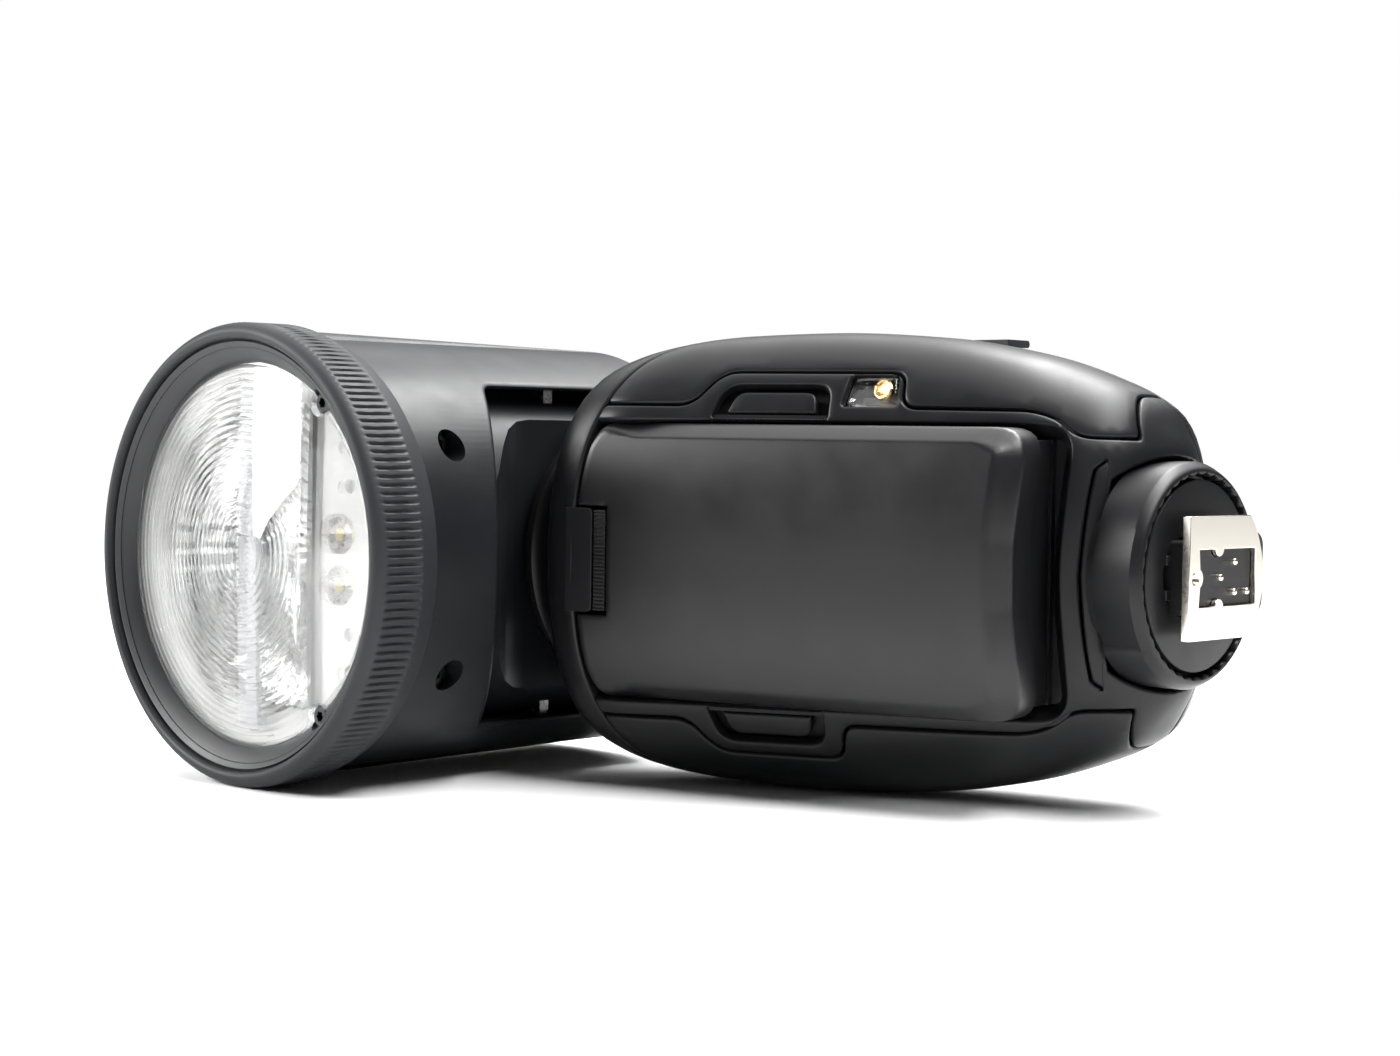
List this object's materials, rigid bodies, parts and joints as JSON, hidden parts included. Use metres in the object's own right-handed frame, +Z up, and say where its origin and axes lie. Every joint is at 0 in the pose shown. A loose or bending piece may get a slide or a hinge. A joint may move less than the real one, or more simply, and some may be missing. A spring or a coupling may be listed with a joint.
{
  "type": "speedlight flash",
  "caption": "Camera-mounted speedlight flash with a round zoom head on a tilting and swivelling turret, clip-in battery and hot-shoe foot with lock ring.",
  "frame": {"origin": "centre of the bounding box's footprint, on the surface the flash lies on", "axes": "+X toward the hot-shoe foot along the body's height, -Y forward along the lamp's beam, +Z up, across the flash's width"},
  "size_m": [0.1664, 0.108, 0.075],
  "materials": {
    "charcoal_plastic": "satin",
    "battery_plastic": "fine textured satin",
    "dark_rubber": "matt",
    "black_plastic": "satin",
    "clear_lens": "clear, ribbed",
    "white_plastic": "satin",
    "circuit_board": "solder mask",
    "steel": "brushed",
    "nickel": "satin nickel",
    "brass": "turned",
    "silver_mirror": "polished",
    "display_glass": "gloss",
    "cell_wrap": "shrink wrap",
    "amber": "clear amber",
    "capacitor_wrap": "shrink wrap",
    "tube_glass": "clear"
  },
  "bodies": {
    "body": {"crown_cap": "charcoal_plastic", "front_housing": "charcoal_plastic", "rear_housing": "charcoal_plastic", "upper_cover": "charcoal_plastic", "lower_cover": "charcoal_plastic", "sensor_window": "clear_lens", "sensor_lamp": "amber", "battery_bay": "black_plastic", "main_capacitor": "capacitor_wrap", "driver_board": "circuit_board", "main_board": "circuit_board", "bay_contacts": "nickel", "display_module": "black_plastic", "display_window": "display_glass", "rear_screws": "steel", "swivel_bearing": "brass", "neck_plate": "charcoal_plastic", "foot_base": "black_plastic", "shoe_plate": "nickel", "contact_block": "black_plastic"},
    "battery": {"battery_case": "battery_plastic", "battery_lid": "battery_plastic", "battery_cells": "cell_wrap"},
    "battery_latch": {"battery_latch": "charcoal_plastic"},
    "upper_release": {"upper_release": "charcoal_plastic"},
    "lower_release": {"lower_release": "charcoal_plastic"},
    "turret": {"turret": "charcoal_plastic", "tilt_axle": "steel", "swivel_nut": "steel"},
    "head": {"head_upper_shell": "charcoal_plastic", "head_lower_shell": "charcoal_plastic", "head_screws": "steel", "lens_bezel": "black_plastic", "fresnel_lens": "clear_lens", "lens_screws": "steel", "led_insert": "white_plastic", "led_board": "circuit_board", "guide_rods": "steel", "zoom_motor": "steel", "hinge_frame": "steel", "tilt_bushes": "brass", "trigger_coil": "brass"},
    "zoom_ring": {"zoom_ring_core": "black_plastic", "zoom_ring_grip": "dark_rubber"},
    "zoom_carriage": {"zoom_carriage": "black_plastic", "reflector": "silver_mirror", "flash_tube": "tube_glass"},
    "zoom_screw": {"zoom_screw": "steel"},
    "control_dial": {"control_dial": "charcoal_plastic"},
    "dial_button": {"dial_button": "charcoal_plastic"},
    "key_1": {"key_1": "charcoal_plastic"},
    "key_2": {"key_2": "charcoal_plastic"},
    "key_3": {"key_3": "charcoal_plastic"},
    "key_4": {"key_4": "charcoal_plastic"},
    "power_switch": {"power_switch": "charcoal_plastic"},
    "port_cover": {"port_cover": "dark_rubber"},
    "lock_ring": {"lock_ring": "charcoal_plastic"},
    "pressure_disc": {"pressure_disc": "charcoal_plastic"},
    "locking_pin": {"locking_pin": "nickel"},
    "contact_pins": {"contact_pins": "nickel"}
  },
  "joints": [
    {"name": "turret_swivel", "type": "hinge", "parent": "body", "child": "turret", "pos_m": [-0.0212, 0.0125, 0.0375], "axis": [1, 0, 0], "range_deg": [-180, 180]},
    {"name": "head_tilt", "type": "hinge", "parent": "turret", "child": "head", "pos_m": [-0.0402, 0.0125, 0.0375], "axis": [0, 0, -1], "range_deg": [0, 90]},
    {"name": "zoom_ring_turn", "type": "hinge", "parent": "head", "child": "zoom_ring", "pos_m": [-0.0457, -0.0455, 0.0375], "axis": [0, -1, 0], "range_deg": [0, 75]},
    {"name": "zoom_carriage_slide", "type": "slide", "parent": "head", "child": "zoom_carriage", "axis": [0, 1, 0], "range_m": [0, 0.008]},
    {"name": "zoom_screw_turn", "type": "hinge", "parent": "head", "child": "zoom_screw", "pos_m": [-0.0732, -0.0155, 0.0375], "axis": [0, -1, 0], "range_deg": [0, 1440]},
    {"name": "battery_removal", "type": "slide", "parent": "body", "child": "battery", "axis": [0.2487, -0.9686, 0], "range_m": [0, 0.03]},
    {"name": "battery_latch_press", "type": "slide", "parent": "battery", "child": "battery_latch", "axis": [-0.2487, 0.9686, 0], "range_m": [0, 0.001], "stiffness_N_per_m": 300},
    {"name": "upper_release_press", "type": "slide", "parent": "body", "child": "upper_release", "axis": [0, 0, -1], "range_m": [0, 0.0008], "stiffness_N_per_m": 300},
    {"name": "lower_release_press", "type": "slide", "parent": "body", "child": "lower_release", "axis": [0, 0, 1], "range_m": [0, 0.0008], "stiffness_N_per_m": 300},
    {"name": "control_dial_turn", "type": "hinge", "parent": "body", "child": "control_dial", "pos_m": [0.03694, 0.04488, 0.0375], "axis": [-0.2487, 0.9686, 0], "continuous": true},
    {"name": "dial_button_press", "type": "slide", "parent": "body", "child": "dial_button", "axis": [0.2487, -0.9686, 0], "range_m": [0, 0.0008], "stiffness_N_per_m": 300},
    {"name": "key_1_press", "type": "slide", "parent": "body", "child": "key_1", "axis": [0.2487, -0.9686, 0], "range_m": [0, 0.0008], "stiffness_N_per_m": 300},
    {"name": "key_2_press", "type": "slide", "parent": "body", "child": "key_2", "axis": [0.2487, -0.9686, 0], "range_m": [0, 0.0008], "stiffness_N_per_m": 300},
    {"name": "key_3_press", "type": "slide", "parent": "body", "child": "key_3", "axis": [0.2487, -0.9686, 0], "range_m": [0, 0.0008], "stiffness_N_per_m": 300},
    {"name": "key_4_press", "type": "slide", "parent": "body", "child": "key_4", "axis": [0.2487, -0.9686, 0], "range_m": [0, 0.0008], "stiffness_N_per_m": 300},
    {"name": "power_switch_slide", "type": "slide", "parent": "body", "child": "power_switch", "axis": [0, 0, 1], "range_m": [0, 0.0036]},
    {"name": "port_cover_hinge", "type": "hinge", "parent": "body", "child": "port_cover", "pos_m": [0.0388, 0.0369, 0.0733], "axis": [-1, 0, 0], "range_deg": [0, 100]},
    {"name": "lock_ring_turn", "type": "hinge", "parent": "body", "child": "lock_ring", "pos_m": [0.0758, 0.0345, 0.0375], "axis": [1, 0, 0], "range_deg": [0, 60]},
    {"name": "pressure_disc_slide", "type": "slide", "parent": "body", "child": "pressure_disc", "axis": [1, 0, 0], "range_m": [0, 0.0008]},
    {"name": "locking_pin_slide", "type": "slide", "parent": "body", "child": "locking_pin", "axis": [1, 0, 0], "range_m": [0, 0.0016]},
    {"name": "contact_pins_press", "type": "slide", "parent": "body", "child": "contact_pins", "axis": [-1, 0, 0], "range_m": [0, 0.0005], "stiffness_N_per_m": 200}
  ],
  "couplings": [
    {"joint": "zoom_carriage_slide", "follows": "zoom_ring_turn", "m_per_rad": 0.0061},
    {"joint": "zoom_screw_turn", "follows": "zoom_ring_turn", "ratio": 19},
    {"joint": "pressure_disc_slide", "follows": "lock_ring_turn", "m_per_rad": 0.00076},
    {"joint": "locking_pin_slide", "follows": "lock_ring_turn", "m_per_rad": 0.0015}
  ]
}
